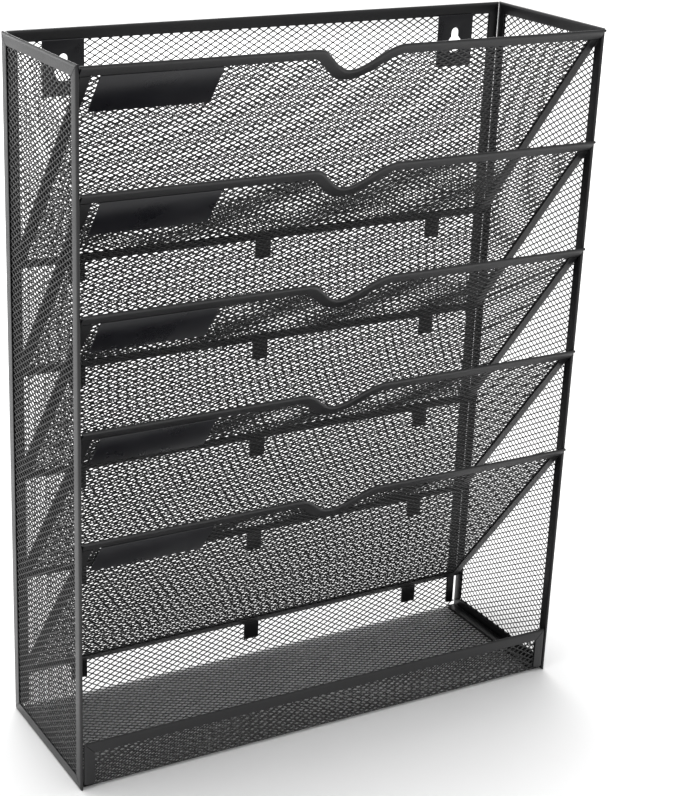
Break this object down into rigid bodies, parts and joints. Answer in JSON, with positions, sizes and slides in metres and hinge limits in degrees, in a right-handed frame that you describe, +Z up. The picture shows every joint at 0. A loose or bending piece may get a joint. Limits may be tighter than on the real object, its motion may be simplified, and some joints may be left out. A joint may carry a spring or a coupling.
{
  "type": "hanging file rack",
  "caption": "Wall file rack of black steel mesh: stacked sloping pockets with notched rails and label plates above an open tray, hung on two keyhole plates.",
  "frame": {"origin": "on the floor, under the middle of the rack's outer box", "axes": "+Z up; the open front faces -Y and the back lies against the wall at +Y; +X is to the right for someone facing the front"},
  "size_m": [0.315, 0.1008, 0.4],
  "materials": {
    "strip_paint": "satin black powder coat on folded steel strip",
    "mesh_paint": "satin black powder coat on expanded steel mesh",
    "plate_paint": "smooth satin black powder coat on flat steel plate"
  },
  "bodies": {
    "root": {"back_and_tray_mesh": "mesh_paint", "back_top_rail": "strip_paint", "back_left_post": "strip_paint", "back_right_post": "strip_paint", "tray_floor_left_strip": "strip_paint", "tray_floor_right_strip": "strip_paint", "tray_lip_left_strip": "strip_paint", "tray_lip_right_strip": "strip_paint", "tray_lip_rail": "strip_paint", "left_hanger_plate": "plate_paint", "right_hanger_plate": "plate_paint", "left_side_mesh": "mesh_paint", "left_side_top_rail": "strip_paint", "left_side_bottom_rail": "strip_paint", "left_side_front_post": "strip_paint", "left_side_back_post": "strip_paint", "right_side_mesh": "mesh_paint", "right_side_top_rail": "strip_paint", "right_side_bottom_rail": "strip_paint", "right_side_front_post": "strip_paint", "right_side_back_post": "strip_paint", "pocket_1_mesh": "mesh_paint", "pocket_1_notched_rail": "strip_paint", "pocket_1_left_strip": "strip_paint", "pocket_1_right_strip": "strip_paint", "pocket_1_foot_strip": "strip_paint", "pocket_1_label_plate": "plate_paint", "pocket_2_mesh": "mesh_paint", "pocket_2_notched_rail": "strip_paint", "pocket_2_left_strip": "strip_paint", "pocket_2_right_strip": "strip_paint", "pocket_2_foot_strip": "strip_paint", "pocket_2_label_plate": "plate_paint", "pocket_3_mesh": "mesh_paint", "pocket_3_notched_rail": "strip_paint", "pocket_3_left_strip": "strip_paint", "pocket_3_right_strip": "strip_paint", "pocket_3_foot_strip": "strip_paint", "pocket_3_label_plate": "plate_paint", "pocket_4_mesh": "mesh_paint", "pocket_4_notched_rail": "strip_paint", "pocket_4_left_strip": "strip_paint", "pocket_4_right_strip": "strip_paint", "pocket_4_foot_strip": "strip_paint", "pocket_4_label_plate": "plate_paint", "pocket_5_mesh": "mesh_paint", "pocket_5_notched_rail": "strip_paint", "pocket_5_left_strip": "strip_paint", "pocket_5_right_strip": "strip_paint", "pocket_5_foot_strip": "strip_paint", "pocket_5_label_plate": "plate_paint"}
  },
  "joints": []
}
